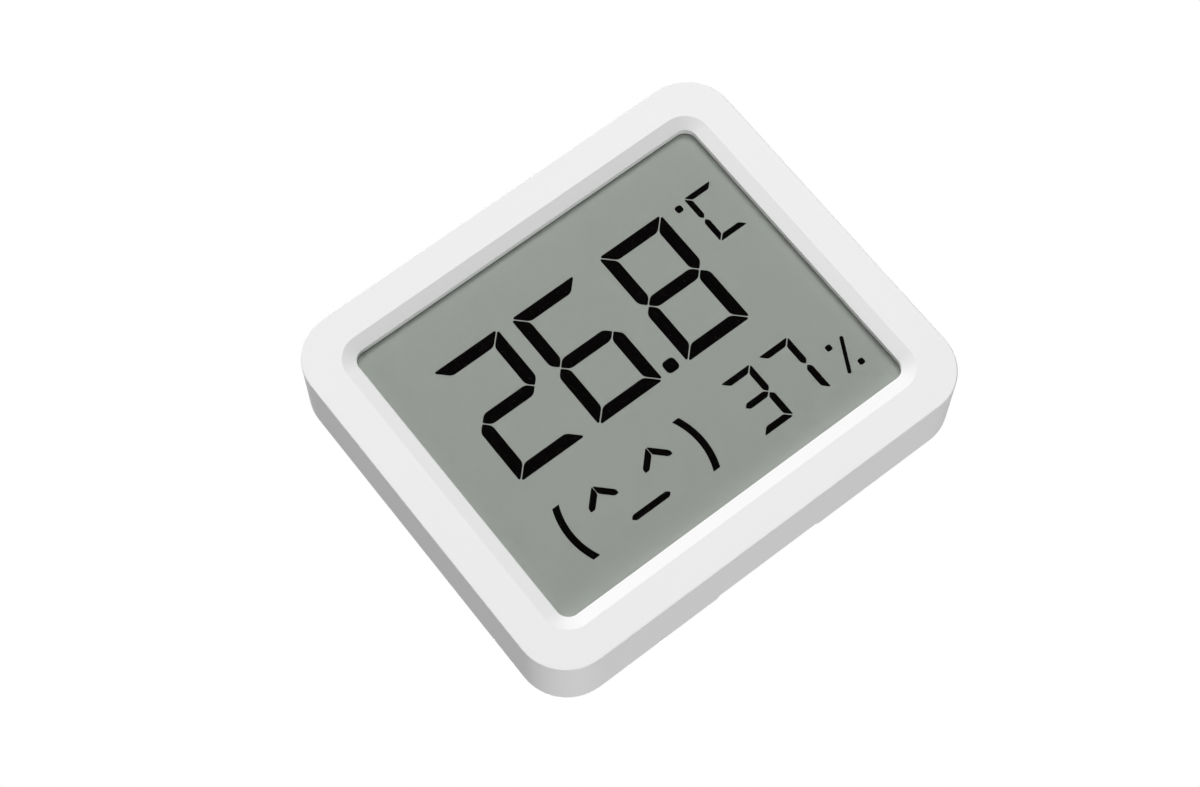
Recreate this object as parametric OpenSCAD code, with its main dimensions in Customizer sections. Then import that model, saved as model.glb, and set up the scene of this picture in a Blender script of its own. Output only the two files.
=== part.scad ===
// Temperature and humidity sensor: a slim white case round a reflective segment display.
// Each piece is drawn lying on its back, rear face at z = 0 and display towards +z, and then stood
// upright, so that the display faces -Y, the top edge faces +Z and the bottom edge rests at z = 0.
// The depth of the case is the sum of what it holds, from the rear cover to the front bevel.

/* [Case] */
// Width of the case
case_w = 60; // [58:0.5:74]
// Height of the case
case_h = 51.2; // [49.6:0.2:64]
// Corner radius of the outline, seen from the front
corner_r = 6; // [5:0.25:8]
// Thickness of the side walls
wall = 1.8; // [1.5:0.1:2.1]
// Side wall left outside the rear cover
rebate_wall = 1; // [0.9:0.05:1.2]
// Round on the front outer edge
front_round = 0.15; // [0.1:0.05:0.8]
// Round on the rear outer edge
rear_round = 0.8; // [0.2:0.05:0.85]

/* [Front frame] */
// Flat band round the display
band_w = 4.1; // [3.8:0.05:6]
// Width of the bevel between the band and the window
bevel_w = 1.65; // [1:0.05:2.2]
// Drop of the bevel towards the window
bevel_drop = 0.5; // [0.3:0.05:0.9]
// Height of the upright lip below the bevel
lip_h = 0.8; // [0.5:0.05:1.4]
// Chamfer on the lip's edge, where the bevel ends
lip_edge = 0.05; // [0.05:0.05:0.3]
// Corner radius of the window
window_r = 1.55; // [0.6:0.05:2.5]

/* [Notch] */
// Length of the fingernail notch in the bottom wall
notch_w = 14; // [8:0.5:20]
// Depth of the notch, from the rear edge
notch_depth = 1.25; // [0.8:0.05:1.7]
// Run of the notch's sloped ends
notch_slope = 0.8; // [0.2:0.1:2]

/* [Display] */
// Thickness of each glass
glass_t = 0.55; // [0.4:0.05:1.1]
// Thickness of the front polariser film
film_t = 0.2; // [0.1:0.05:0.4]
// Thickness of the rear polariser with its reflector
reflector_t = 0.25; // [0.15:0.05:0.5]
// Thickness of the foam gasket
gasket_t = 0.15; // [0.1:0.05:0.6]
// Margin of the films inside the glass's edges
film_margin = 0.3; // [0.1:0.05:0.5]
// Lap of the rear glass over the window, above and below it
glass_lap = 0.4; // [0.2:0.05:0.7]
// Width of the front glass's contact ledges
ledge_w = 2.2; // [1.8:0.1:2.5]
// Width of an elastomer connector strip
strip_w = 1.5; // [1:0.1:1.7]
// Length of an elastomer connector strip
strip_len = 44; // [30:1:48]

/* [Holder and board] */
// Thickness of the display holder's floor
holder_floor = 0.6; // [0.5:0.1:1.5]
// Thickness of the main board
board_t = 0.8; // [0.6:0.1:1.6]
// Diameter of the locating pegs on the holder
peg_d = 1.4; // [1:0.1:1.6]
// Diameter of the screw bosses
boss_d = 2.8; // [2.2:0.1:3.2]
// Height of the screws above and below the middle
screw_rise = 14; // [8:0.5:17]
// Diameter of the screws
screw_d = 1.2; // [0.9:0.1:1.4]
// Length of the screws under the head
screw_len = 3; // [2:0.1:3.6]
// Diameter of the screw heads
screw_head_d = 2.2; // [1.8:0.1:2.6]
// Height of the screw heads
screw_head_h = 0.8; // [0.5:0.1:1.2]
// Length of the cross recess in a screw head
cross_len = 1.2; // [0.8:0.1:1.6]
// Width of the cross recess
cross_w = 0.3; // [0.2:0.05:0.4]
// Depth of the cross recess
cross_depth = 0.4; // [0.2:0.05:0.6]

/* [Coin cell] */
// Diameter of the cell
cell_d = 24.5; // [20:0.5:25]
// Thickness of the cell
cell_t = 3; // [2:0.1:3.6]
// Height of the cell's centre over the inside of the bottom wall
cell_rise = 16.8; // [15.5:0.1:18]
// Radius of the cell's rear edge
cell_edge_r = 0.5; // [0.3:0.05:0.8]
// Height of the crimp and the negative face beyond the can's side
cell_crimp = 0.6; // [0.4:0.1:1]
// Distance of the negative face in from the can's side
cell_face_in = 1.6; // [1:0.1:3]
// Wall of the cell holder
cell_holder_wall = 1.6; // [1.4:0.1:2]
// Height of the cell holder
cell_holder_h = 2.5; // [1.5:0.1:2.9]
// Width of the lowered wall where a finger tips the cell out
finger_w = 12; // [8:0.5:16]
// Drop of the lowered wall
finger_drop = 1.2; // [0.5:0.1:1.3]
// Thickness of the spring metal
clip_t = 0.3; // [0.2:0.05:0.4]
// Width of a positive clip
clip_w = 6; // [3:0.5:8]
// Reach of a positive clip over the cell
clip_reach = 2.6; // [1.5:0.1:4]
// Length of a positive clip's foot
clip_foot = 2.5; // [1.6:0.1:3]
// Inner radius of a positive clip's bends
clip_bend_r = 0.4; // [0.2:0.05:0.5]
// Height of the negative contact
contact_h = 0.3; // [0.25:0.05:0.6]
// Diameter of the negative contact
contact_d = 12; // [9.5:0.5:16]
// Diameter of the negative contact's dished part
contact_dish_d = 9; // [6:0.5:9.2]
// Diameter of the crown that touches the cell
contact_crown_d = 3.6; // [2:0.1:5]
// Thickness of the negative contact
contact_t = 0.15; // [0.1:0.05:0.2]

/* [Board parts] */
// Side of the radio chip
radio_w = 5; // [3:0.5:6]
// Side of the display driver chip
driver_w = 6; // [4:0.5:7]
// Thickness of the chips
chip_t = 0.85; // [0.5:0.05:1.2]
// Distance of the chips down from the top wall
chip_down = 8.5; // [8:0.1:9]
// Space between neighbouring parts on the board
part_space = 1.5; // [0.5:0.1:1.8]
// Distance from the middle to each chip's centre
chip_reach = 4.5; // [4:0.1:6]
// Length of the crystals
crystal_len = 3.2; // [2:0.1:4]
// Width of the larger crystal
crystal_w = 2.5; // [1.5:0.1:3]
// Width of the smaller crystal
small_crystal_w = 1.5; // [1:0.1:2]
// Length of the chip antenna
antenna_len = 7; // [4:0.5:9]
// Width of the chip antenna
antenna_w = 2.2; // [1:0.1:3]
// Number of capacitors in their row
capacitor_count = 6; // [3:1:7]
// Number of resistors in their row
resistor_count = 6; // [3:1:7]
// Length of the capacitors and resistors
passive_len = 1.6; // [1:0.1:2]
// Width of the capacitors and resistors, and height of the capacitors
passive_w = 0.8; // [0.5:0.05:1]
// Height of the resistors
resistor_t = 0.5; // [0.3:0.05:0.6]
// Spacing of the capacitors and resistors
passive_pitch = 3; // [2.4:0.1:3.2]

/* [Humidity sensor and vents] */
// Side of the humidity sensor
sensor_w = 2.5; // [1.5:0.1:4]
// Thickness of the humidity sensor
sensor_t = 0.9; // [0.5:0.1:1.1]
// Diameter of the opening over the sensor's element
sensor_opening_d = 1.4; // [0.8:0.1:1.4]
// Depth of that opening
sensor_opening_depth = 0.4; // [0.1:0.05:0.45]
// Height of the foam seal round the sensor
seal_h = 1.2; // [0.6:0.1:2]
// Number of vent slots
vent_count = 5; // [3:1:6]
// Width of a vent slot
vent_w = 0.9; // [0.5:0.1:1.2]
// Length of a vent slot
vent_len = 8; // [4:0.5:9]
// Spacing of the vent slots
vent_pitch = 1.9; // [1.5:0.1:2.2]
// Wall of the air duct behind the vents
duct_wall = 0.8; // [0.5:0.1:1.2]
// Distance of the sensor and the button in from the side walls
station_in = 9.2; // [8:0.1:10]
// Distance of the sensor and the button down from the top wall
station_down = 10.8; // [8.5:0.1:12]

/* [Rear cover] */
// Thickness of the plate that closes the stand's recess
tub_t = 0.6; // [0.5:0.1:1.5]
// Wall round the stand's recess
tub_wall = 1.2; // [1.2:0.1:2]
// Round on the cover's rear edge
cover_round = 0.25; // [0.1:0.05:0.5]
// Width of a locating tab
tab_w = 6; // [3:0.5:8]
// Thickness of a locating tab
tab_t = 1; // [0.6:0.1:1.2]
// Length of a locating tab
tab_len = 2.4; // [1:0.1:3]
// Distance of the locating tabs from the middle
tab_reach = 15; // [13:0.5:19]

/* [Stand] */
// Width of the stand
stand_w = 15; // [10:0.5:18]
// Length of the stand, from its hinge to its free end
stand_len = 27; // [20:0.5:30]
// Thickness of the stand
stand_t = 1.5; // [1.2:0.1:2]
// Depth of the folded stand below the rear face
stand_sink = 0.2; // [0.1:0.05:0.4]
// Corner radius of the stand's free end
stand_tip_r = 2; // [0.5:0.25:4]
// Diameter of the stand's hinge pins
pin_d = 1; // [0.6:0.1:1]
// Length of a hinge pin
pin_len = 1.1; // [0.6:0.1:1.1]
// Width of the grip groove across the stand
groove_w = 2.4; // [1:0.1:4]
// Depth of the grip groove
groove_depth = 0.4; // [0.1:0.05:0.7]

/* [Pairing button] */
// Diameter of the button
button_d = 5; // [3.5:0.1:6]
// Depth of the button's face below the rear face
button_sink = 0.25; // [0.1:0.05:0.5]
// Depth of the dish in the button's face
button_dish = 0.25; // [0.1:0.05:0.5]
// Width of the flange that keeps the button in the cover
flange_w = 0.9; // [0.5:0.1:1.2]
// Thickness of the flange
flange_t = 0.6; // [0.3:0.1:0.9]
// Diameter of the button's stem
stem_d = 2.6; // [1.5:0.1:3.5]
// Travel of the button
button_travel = 0.25; // [0.15:0.05:0.4]
// Side of the switch
switch_w = 4.5; // [3.5:0.1:6]
// Height of the switch
switch_h = 1.9; // [1.5:0.1:2]
// Width of a solder leg of the switch
leg_w = 0.9; // [0.5:0.1:1.2]
// Reach of a solder leg past the switch's side
leg_out = 0.9; // [0.5:0.1:1.5]
// Thickness of a solder leg
leg_t = 0.25; // [0.1:0.05:0.4]
// Diameter of the switch's plunger
plunger_d = 2; // [1.2:0.1:2.5]
// How far the plunger stands out of the switch
plunger_out = 0.7; // [0.5:0.05:0.9]
// Depth of the plunger inside the switch
plunger_in = 0.9; // [0.5:0.1:1]

/* [Clearances] */
// Rear cover to the rebate round it
cover_gap = 0.12; // [0.05:0.01:0.2]
// Rear cover to the step it seats on
seat_gap = 0.05; // [0.02:0.01:0.1]
// Display holder to the inside of the front
holder_gap = 0.1; // [0.05:0.05:0.2]
// Screw heads to the side walls
head_gap = 0.1; // [0.05:0.05:0.2]
// Screws to the notches in the board
screw_gap = 0.2; // [0.1:0.05:0.3]
// Board and display holder to the side walls
board_gap = 0.2; // [0.1:0.05:0.3]
// Glass to the holder
glass_gap = 0.15; // [0.1:0.05:0.25]
// Bosses to what passes beside them
boss_gap = 0.25; // [0.15:0.05:0.3]
// Screws, pegs, hinge pins and plunger in their holes, radially
pin_gap = 0.05; // [0.03:0.01:0.08]
// Button in its hole, radially
button_gap = 0.1; // [0.06:0.01:0.1]
// Cell and clips to the holder round them
cell_gap = 0.2; // [0.1:0.05:0.3]
// Cell clips to the recess plate behind them
clip_gap = 0.1; // [0.05:0.05:0.3]
// Stand to the floor of its recess
stand_gap = 0.1; // [0.05:0.05:0.2]
// Stand to the sides and ends of its recess
stand_side_gap = 0.2; // [0.1:0.05:0.3]
// Small gap between pieces that meet only when pressed
touch_gap = 0.05; // [0.03:0.01:0.1]

/* [Hidden] */
$fn = 64;

// Extra length of a cutter past the face it goes through
past = 1;

// Levels through the case, from the rear face to the front face
cover_t = stand_sink + stand_t + stand_gap;
z_seat = cover_t + seat_gap;
z_tub = cover_t + tub_t;
z_cell = z_tub + clip_gap + clip_t;
z_contact = z_cell + cell_t;
z_board = z_contact + contact_h;
z_board_front = z_board + board_t;
z_pocket = z_board_front + holder_floor;
z_rear_glass = z_pocket + reflector_t;
z_ledge = z_rear_glass + glass_t;
z_film = z_ledge + glass_t;
z_gasket = z_film + film_t;
z_lip = z_gasket + gasket_t;
case_d = z_lip + lip_h + bevel_drop;

// Outlines, seen from the front
window_w = case_w - 2 * (band_w + bevel_w);
window_h = case_h - 2 * (band_w + bevel_w);
cavity_w = case_w - 2 * wall;
cavity_h = case_h - 2 * wall;
cavity_r = corner_r - wall;
cover_w = case_w - 2 * (rebate_wall + cover_gap);
cover_h = case_h - 2 * (rebate_wall + cover_gap);
cover_r = corner_r - rebate_wall - cover_gap;
board_w = cavity_w - 2 * board_gap;
board_h = cavity_h - 2 * board_gap;
board_r = cavity_r - board_gap;

// Screws stand close to the side walls, and the glass fills the room between their bosses
screw_x = cavity_w / 2 - screw_head_d / 2 - head_gap;
glass_w = 2 * (screw_x - boss_d / 2 - boss_gap);
rear_glass_h = window_h + 2 * glass_lap;
front_glass_h = rear_glass_h + 2 * ledge_w;
strip_y = rear_glass_h / 2 + ledge_w / 2;
film_w = glass_w - 2 * film_margin;
film_h = front_glass_h - 2 * film_margin;
peg_x = (glass_w / 2 + glass_gap + board_w / 2) / 2;

// Places on the rear of the board
station_x = cavity_w / 2 - station_in;
station_y = cavity_h / 2 - station_down;
cell_y = cell_rise - cavity_h / 2;
cell_r = cell_d / 2;
riser_x = cell_r + cell_gap / 2;
chip_y = cavity_h / 2 - chip_down;
resistor_y = chip_y + driver_w / 2 + part_space;
capacitor_y = resistor_y + passive_w + part_space;
duct_in = (vent_count - 1) * vent_pitch + vent_w + duct_wall;
duct_len = max(vent_len, sensor_w) + duct_wall;
seal_z = z_board - seal_h;

// Stand, its recess and its hinge
stand_tip_y = -cover_h / 2 + stand_side_gap;
hinge_y = stand_tip_y + stand_len;
hinge_z = stand_sink + stand_t / 2;
recess_w = stand_w + 2 * stand_side_gap;
recess_top = hinge_y + stand_t / 2 + stand_side_gap;
tub_w = recess_w + 2 * tub_wall;
tub_low = -cavity_h / 2 + cover_gap;

// Button and switch, one behind the other
plunger_tip = z_board - switch_h - plunger_out;
flange_z = cover_t + touch_gap;
stem_end = plunger_tip - touch_gap;

module upright() {
  translate([0, case_d / 2, case_h / 2]) rotate([90, 0, 0]) children();
}

// Rectangle with round corners, centred
module soft_rect(w, h, r) {
  square([w - 2 * r, h], center = true);
  square([w, h - 2 * r], center = true);
  for (x = [-1, 1], y = [-1, 1]) translate([x * (w / 2 - r), y * (h / 2 - r)]) circle(r);
}

// Upright block on a rectangle with round corners
module soft_block(w, h, r, low, high) {
  translate([0, 0, low]) linear_extrude(high - low) soft_rect(w, h, r);
}

// Block centred over a point, between two levels
module block(at, w, h, low, high) {
  translate([at[0] - w / 2, at[1] - h / 2, low]) cube([w, h, high - low]);
}

// Round post over a point, between two levels
module post(at, d, low, high) {
  translate([at[0], at[1], low]) cylinder(d = d, h = high - low);
}

// Carries a section round a rectangle with round corners: section x runs out from the corner's
// centre, so the outline is at x = r, and section y is the level
module carried_round(w, h, r) {
  for (turn = [0 : 3]) {
    side_len = turn % 2 == 0 ? h - 2 * r : w - 2 * r;
    reach = turn % 2 == 0 ? w / 2 - r : h / 2 - r;
    rotate([0, 0, 90 * turn]) translate([reach, 0, 0]) {
      rotate([90, 0, 0]) linear_extrude(side_len, center = true) children();
      translate([0, side_len / 2, 0]) rotate_extrude(angle = 90) children();
    }
  }
}

module at_screws() {
  for (x = [-1, 1], y = [-1, 1]) translate([x * screw_x, y * screw_rise, 0]) children();
}

// Section of the case from a corner's centre out to the wall, with its front and rear edges rounded
module case_section() {
  middle = case_d / 2;
  square([corner_r - rear_round, middle]);
  translate([0, middle]) square([corner_r - front_round, middle]);
  translate([0, rear_round]) square([corner_r, case_d - rear_round - front_round]);
  translate([corner_r - rear_round, rear_round]) circle(rear_round);
  translate([corner_r - front_round, case_d - front_round]) circle(front_round);
}

module case_block() {
  carried_round(case_w, case_h, corner_r) case_section();
  block([0, 0], case_w - 2 * corner_r, case_h - 2 * corner_r, 0, case_d);
}

// Window through the front, with the bevel that leads down to it
module window_cut() {
  bevel_z = case_d - bevel_drop;
  lip_top = bevel_z - lip_edge;
  soft_block(window_w, window_h, window_r, z_lip - past, case_d + past);
  carried_round(window_w, window_h, window_r) polygon([
    [0, lip_top], [window_r, lip_top],
    [window_r + lip_edge, bevel_z + lip_edge * bevel_drop / bevel_w], [window_r + bevel_w, case_d],
    [window_r + bevel_w, case_d + past], [0, case_d + past]
  ]);
}

// Notch for a fingernail in the rear edge of the bottom wall
module notch_cut() {
  run = notch_slope * (notch_depth + past) / notch_depth;
  translate([0, -case_h / 2, 0]) rotate([90, 0, 0]) linear_extrude(2 * rebate_wall + past, center = true)
    polygon([
      [-notch_w / 2 - run, -past], [-notch_w / 2, notch_depth],
      [notch_w / 2, notch_depth], [notch_w / 2 + run, -past]
    ]);
}

module front_housing() {
  color("white") upright() {
    difference() {
      case_block();
      soft_block(cavity_w, cavity_h, cavity_r, -past, z_lip);
      soft_block(case_w - 2 * rebate_wall, case_h - 2 * rebate_wall, corner_r - rebate_wall, -past, z_seat);
      window_cut();
      notch_cut();
    }
    at_screws() difference() {
      post([0, 0], boss_d, z_board_front, z_lip);
      post([0, 0], screw_d + 2 * pin_gap, z_board_front - past, z_board + screw_len + touch_gap);
    }
  }
}

module display_gasket() {
  color("black") upright() difference() {
    soft_block(film_w, film_h, window_r, z_gasket, z_lip);
    soft_block(window_w, window_h, window_r, z_gasket - past, z_lip + past);
  }
}

module front_polariser() {
  color("darkseagreen") upright() block([0, 0], film_w, film_h, z_film, z_gasket);
}

module front_glass() {
  color("lightcyan") upright() block([0, 0], glass_w, front_glass_h, z_ledge, z_film);
}

module rear_glass() {
  color("lightcyan") upright() block([0, 0], glass_w, rear_glass_h, z_rear_glass, z_ledge);
}

module display_reflector() {
  color("darkgray") upright() block([0, 0], film_w, rear_glass_h - 2 * film_margin, z_pocket, z_rear_glass);
}

// Tray that carries the glass, with slots for the connector strips and pegs for the board
module display_holder() {
  top = z_lip - holder_gap;
  color("whitesmoke") upright() {
    difference() {
      soft_block(board_w, board_h, board_r, z_board_front, top);
      block([0, 0], glass_w + 2 * glass_gap, front_glass_h + 2 * glass_gap, z_ledge, top + past);
      block([0, 0], glass_w + 2 * glass_gap, rear_glass_h + 2 * glass_gap, z_pocket, z_ledge + past);
      for (side = [-1, 1])
        block([0, side * strip_y], strip_len + 2 * glass_gap, strip_w + 2 * glass_gap, 0, z_ledge + past);
      at_screws() post([0, 0], boss_d + 2 * boss_gap, 0, top + past);
    }
    for (side = [-1, 1]) post([side * peg_x, 0], peg_d, z_board, z_board_front);
  }
}

module connector_strips() {
  color("dimgray") upright() for (side = [-1, 1])
    block([0, side * strip_y], strip_len, strip_w, z_board_front, z_ledge);
}

// Board with open notches at its sides for the screws and holes for the holder's pegs
module main_board() {
  slot_d = screw_d + 2 * screw_gap;
  color("darkgreen") upright() difference() {
    soft_block(board_w, board_h, board_r, z_board, z_board_front);
    for (side = [-1, 1]) {
      post([side * peg_x, 0], peg_d + 2 * pin_gap, z_board - past, z_board_front + past);
      for (rise = [-1, 1])
        translate([side * screw_x, rise * screw_rise, z_board - past]) linear_extrude(board_t + 2 * past) {
          circle(d = slot_d);
          translate([side * screw_x / 2, 0]) square([screw_x, slot_d], center = true);
        }
    }
  }
}

// Domed screw heads with a cross recess, on plain shanks
module board_screws() {
  dome_r = (screw_head_d * screw_head_d / 4 + screw_head_h * screw_head_h) / (2 * screw_head_h);
  color("silver") upright() at_screws() difference() {
    union() {
      post([0, 0], screw_d, z_board - screw_head_h / 2, z_board + screw_len);
      intersection() {
        post([0, 0], screw_head_d, z_board - screw_head_h, z_board);
        translate([0, 0, z_board - screw_head_h + dome_r]) sphere(dome_r);
      }
    }
    for (turn = [0, 90]) rotate([0, 0, turn])
      block([0, 0], cross_len, cross_w, z_board - screw_head_h - past, z_board - screw_head_h + cross_depth);
  }
}

module radio_chip() {
  color("black") upright() block([-chip_reach, chip_y], radio_w, radio_w, z_board - chip_t, z_board);
}

module driver_chip() {
  color("black") upright() block([chip_reach, chip_y], driver_w, driver_w, z_board - chip_t, z_board);
}

module crystals() {
  beside_driver = chip_reach + driver_w / 2 + part_space + crystal_w / 2;
  beside_radio = -chip_reach - radio_w / 2 - part_space - small_crystal_w / 2;
  color("silver") upright() {
    block([beside_driver, chip_y], crystal_w, crystal_len, z_board - chip_t, z_board);
    block([beside_radio, chip_y], small_crystal_w, crystal_len, z_board - chip_t, z_board);
  }
}

module chip_antenna() {
  antenna_x = board_w / 2 - part_space - antenna_w / 2;
  color("ivory") upright() block([antenna_x, cell_y], antenna_w, antenna_len, z_board - chip_t, z_board);
}

// Row of small parts centred across the board
module passive_row(count, y, thickness) {
  first_x = -(count - 1) / 2 * passive_pitch;
  for (i = [0 : count - 1])
    block([first_x + i * passive_pitch, y], passive_len, passive_w, z_board - thickness, z_board);
}

module capacitors() {
  color("tan") upright() passive_row(capacitor_count, capacitor_y, passive_w);
}

module resistors() {
  color("black") upright() passive_row(resistor_count, resistor_y, resistor_t);
}

// Sensor with the round opening that the air reaches its element through
module humidity_sensor() {
  color("dimgray") upright() difference() {
    block([-station_x, station_y], sensor_w, sensor_w, z_board - sensor_t, z_board);
    post([-station_x, station_y], sensor_opening_d, z_board - sensor_t - past,
      z_board - sensor_t + sensor_opening_depth);
  }
}

// Upright square tube of the duct and of the seal that meets it
module duct_tube(low, high) {
  difference() {
    block([-station_x, station_y], duct_in + 2 * duct_wall, duct_len + 2 * duct_wall, low, high);
    block([-station_x, station_y], duct_in, duct_len, low - past, high + past);
  }
}

module sensor_seal() {
  color("black") upright() duct_tube(seal_z, z_board);
}

// Switch body with its plunger bore and four solder legs
module pair_switch() {
  leg_span = switch_w + 2 * leg_out;
  leg_y = switch_w / 2 - leg_w;
  color("black") upright() difference() {
    union() {
      block([station_x, station_y], switch_w, switch_w, z_board - switch_h, z_board);
      for (side = [-1, 1])
        block([station_x, station_y + side * leg_y], leg_span, leg_w, z_board - leg_t, z_board);
    }
    post([station_x, station_y], plunger_d + 2 * pin_gap, z_board - switch_h - past,
      z_board - switch_h + plunger_in + button_travel + touch_gap);
  }
}

module switch_plunger() {
  color("ivory") upright()
    post([station_x, station_y], plunger_d, plunger_tip, z_board - switch_h + plunger_in);
}

// Ring round the cell, slotted for the clips and lowered where a finger tips the cell out
module cell_holder() {
  inner_d = cell_d + 2 * cell_gap;
  outer_d = inner_d + 2 * cell_holder_wall;
  low = z_board - cell_holder_h;
  slot_w = clip_w + 2 * cell_gap;
  color("black") upright() difference() {
    post([0, cell_y], outer_d, low, z_board);
    post([0, cell_y], inner_d, low - past, z_board + past);
    block([0, cell_y], 2 * (riser_x + clip_t + cell_gap), slot_w, low - past, z_board + past);
    block([0, cell_y], outer_d + past, slot_w, z_board - clip_t - cell_gap, z_board + past);
    block([0, cell_y - inner_d / 2], finger_w, inner_d / 2, low - past, low + finger_drop);
  }
}

// Coin cell: a can with a round rear edge, crimped over the smaller negative face
module coin_cell() {
  can_t = cell_t - cell_crimp;
  step = cell_crimp / 2;
  color("silver") upright() translate([0, cell_y, z_cell]) rotate_extrude() {
    square([cell_r - cell_edge_r, can_t]);
    translate([0, cell_edge_r]) square([cell_r, can_t - cell_edge_r]);
    translate([cell_r - cell_edge_r, cell_edge_r]) circle(cell_edge_r);
    translate([0, can_t]) polygon([
      [0, 0], [cell_r, 0], [cell_r - cell_crimp, step], [cell_r - cell_face_in, step],
      [cell_r - cell_face_in, cell_crimp], [0, cell_crimp]
    ]);
  }
}

// Quarter of a round bend in strip metal, in the quadrant of +x and +y
module strip_bend(inner_r) {
  intersection() {
    difference() {
      circle(inner_r + clip_t);
      circle(inner_r);
    }
    square(inner_r + clip_t);
  }
}

// Section of a clip: a foot on the board, a riser beside the cell and an arm over its rear face
module clip_section() {
  arm_z = z_cell - clip_t;
  foot_z = z_board - clip_t;
  foot_x = riser_x + clip_t + clip_bend_r;
  translate([riser_x - clip_reach, arm_z]) square([clip_reach - clip_bend_r, clip_t]);
  translate([riser_x - clip_bend_r, z_cell + clip_bend_r]) mirror([0, 1]) strip_bend(clip_bend_r);
  translate([riser_x, z_cell + clip_bend_r]) square([clip_t, foot_z - z_cell - 2 * clip_bend_r]);
  translate([foot_x, foot_z - clip_bend_r]) mirror([1, 0]) strip_bend(clip_bend_r);
  translate([foot_x, foot_z]) square([clip_foot, clip_t]);
}

module positive_clips() {
  color("gainsboro") upright() translate([0, cell_y, 0]) for (turn = [0, 180])
    rotate([0, 0, turn]) rotate([90, 0, 0]) linear_extrude(clip_w, center = true) clip_section();
}

// Dished spring disc: its rim is soldered to the board and its crown presses on the cell
module negative_contact() {
  rim_r = contact_d / 2;
  dish_r = contact_dish_d / 2;
  crown_r = contact_crown_d / 2;
  rim_z = contact_h - contact_t;
  color("gainsboro") upright() translate([0, cell_y, z_contact]) rotate_extrude() polygon([
    [0, 0], [crown_r, 0], [dish_r, rim_z], [rim_r, rim_z],
    [rim_r, contact_h], [dish_r - contact_t, contact_h], [crown_r - contact_t, contact_t], [0, contact_t]
  ]);
}

// Section of the cover's edge, rounded at the rear
module cover_section() {
  square([cover_r - cover_round, cover_t]);
  translate([0, cover_round]) square([cover_r, cover_t - cover_round]);
  translate([cover_r - cover_round, cover_round]) circle(cover_round);
}

module cover_plate() {
  carried_round(cover_w, cover_h, cover_r) cover_section();
  block([0, 0], cover_w - 2 * cover_r, cover_h - 2 * cover_r, 0, cover_t);
}

// Plate across the back of the stand's recess
module tub_plate() {
  high = recess_top + tub_wall;
  block([0, (tub_low + high) / 2], tub_w, high - tub_low, cover_t, z_tub);
}

// Recess that the stand folds into, open at the bottom edge, with its hinge holes
module stand_cut() {
  low = -cover_h / 2 - past;
  block([0, (low + recess_top) / 2], recess_w, recess_top - low, -past, cover_t);
  translate([0, hinge_y, hinge_z]) rotate([0, 90, 0])
    cylinder(d = pin_d + 2 * pin_gap, h = stand_w + 2 * (pin_len + pin_gap), center = true);
}

module vent_cut() {
  first_x = -station_x - (vent_count - 1) / 2 * vent_pitch;
  for (i = [0 : vent_count - 1])
    block([first_x + i * vent_pitch, station_y], vent_w, vent_len, -past, cover_t + past);
}

module rear_cover() {
  tab_y = cavity_h / 2 - cover_gap - tab_t / 2;
  color("white") upright() {
    difference() {
      union() {
        cover_plate();
        tub_plate();
      }
      stand_cut();
      vent_cut();
      post([station_x, station_y], button_d + 2 * button_gap, -past, cover_t + past);
    }
    duct_tube(cover_t, seal_z - touch_gap);
    for (x = [-1, 1], y = [-1, 1])
      block([x * tab_reach, y * tab_y], tab_w, tab_t, cover_t, cover_t + tab_len);
  }
}

// Stand: a plate with a round hinge end, trunnion pins and a grip groove across its rear face
module stand() {
  groove_r = (groove_w * groove_w / 4 + groove_depth * groove_depth) / (2 * groove_depth);
  groove_y = stand_tip_y + stand_tip_r + groove_w;
  color("white") upright() {
    difference() {
      union() {
        translate([0, 0, stand_sink]) linear_extrude(stand_t) {
          translate([0, stand_tip_y + stand_len / 2]) soft_rect(stand_w, stand_len, stand_tip_r);
          translate([-stand_w / 2, hinge_y - stand_len / 2]) square([stand_w, stand_len / 2]);
        }
        translate([0, hinge_y, hinge_z]) rotate([0, 90, 0]) cylinder(d = stand_t, h = stand_w, center = true);
      }
      translate([0, groove_y, stand_sink + groove_depth - groove_r]) rotate([0, 90, 0])
        cylinder(r = groove_r, h = stand_w - 2 * stand_tip_r, center = true);
    }
    translate([0, hinge_y, hinge_z]) rotate([0, 90, 0])
      cylinder(d = pin_d, h = stand_w + 2 * pin_len, center = true);
  }
}

// Button with a dished face, a flange behind the cover and a stem to the switch
module pair_button() {
  dish_r = (button_d * button_d / 4 + button_dish * button_dish) / (2 * button_dish);
  color("gainsboro") upright() difference() {
    union() {
      post([station_x, station_y], button_d, button_sink, flange_z);
      post([station_x, station_y], button_d + 2 * flange_w, flange_z, flange_z + flange_t);
      post([station_x, station_y], stem_d, flange_z + flange_t, stem_end);
    }
    translate([station_x, station_y, button_sink + button_dish - dish_r]) sphere(dish_r);
  }
}

front_housing();
display_gasket();
front_polariser();
front_glass();
rear_glass();
display_reflector();
display_holder();
connector_strips();
main_board();
board_screws();
radio_chip();
driver_chip();
crystals();
chip_antenna();
capacitors();
resistors();
humidity_sensor();
sensor_seal();
pair_switch();
switch_plunger();
cell_holder();
coin_cell();
positive_clips();
negative_contact();
rear_cover();
stand();
pair_button();
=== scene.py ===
"""Looks of a table-top temperature and humidity sensor: display signs, finishes and the stage around it.

The packed model is the fixed frame. The display faces -Y, the case stands at z = 0, and lengths are metres.
"""

import math

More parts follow.
